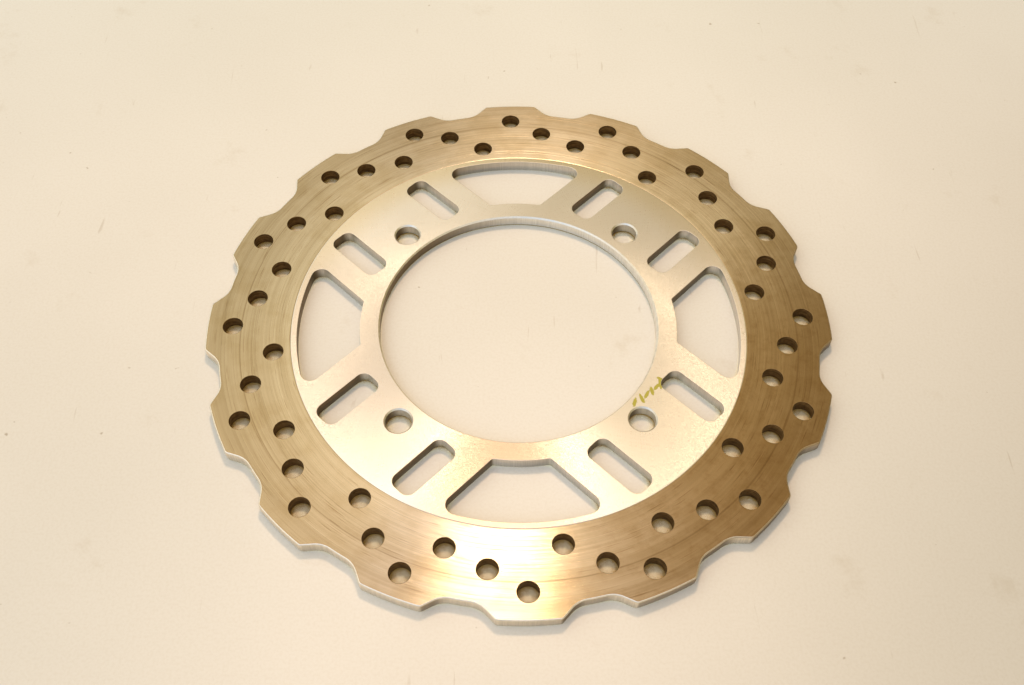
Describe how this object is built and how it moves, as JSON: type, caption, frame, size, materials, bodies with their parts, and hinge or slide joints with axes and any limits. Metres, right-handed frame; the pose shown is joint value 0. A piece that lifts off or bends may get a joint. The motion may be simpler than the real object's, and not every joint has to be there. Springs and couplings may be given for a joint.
{
  "type": "brake disc",
  "caption": "Flat one-piece motorcycle brake disc with a wavy rim, a drilled friction ring, and a carrier with windows, slots, a central bore and bolt holes.",
  "frame": {"origin": "on the disc's axis, in the plane of the hub face, which is the underside", "axes": "+Z along the disc's axis, away from the hub; +X through the middle of a window, so the bolt holes stand at 45 degrees to X and Y"},
  "size_m": [0.22, 0.22, 0.0045],
  "materials": {
    "ground_steel": "ground and turned stainless steel, satin, with fine concentric scoring on the friction ring"
  },
  "bodies": {
    "root": {"brake_disc": "ground_steel"}
  },
  "joints": []
}
